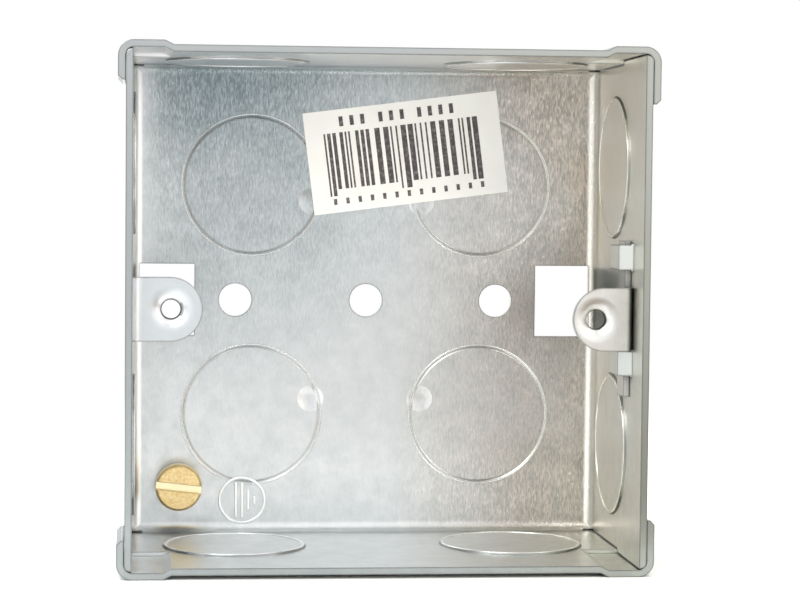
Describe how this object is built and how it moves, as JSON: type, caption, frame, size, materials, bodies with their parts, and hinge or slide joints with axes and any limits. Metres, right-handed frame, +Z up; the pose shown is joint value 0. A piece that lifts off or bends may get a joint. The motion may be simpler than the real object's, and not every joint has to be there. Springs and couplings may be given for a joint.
{
  "type": "flush back box",
  "caption": "Square folded-steel flush back box with cover-screw lugs, knockouts, base fixing holes and an earth terminal.",
  "frame": {"origin": "middle of the bounding box, on the level of the lower corner laps that the box stands on", "axes": "+X to the right seen from the open front, +Y from the open front to the back of the base, +Z up"},
  "size_m": [0.0752, 0.035, 0.0742],
  "materials": {
    "galvanised_steel": "satin",
    "plated_lug": "satin",
    "brass": "satin",
    "label_paper": "matte"
  },
  "bodies": {
    "box": {"box_body": "galvanised_steel", "paper_label": "label_paper"},
    "lug": {"adjustable_lug": "plated_lug"},
    "screw": {"earth_screw": "brass"}
  },
  "joints": [
    {"name": "lug_slide", "type": "slide", "parent": "box", "child": "lug", "axis": [0, 0, 1], "range_m": [0, 0.0025]},
    {"name": "earth_screw_travel", "type": "slide", "parent": "box", "child": "screw", "axis": [0, -1, 0], "range_m": [0, 0.0021]}
  ]
}
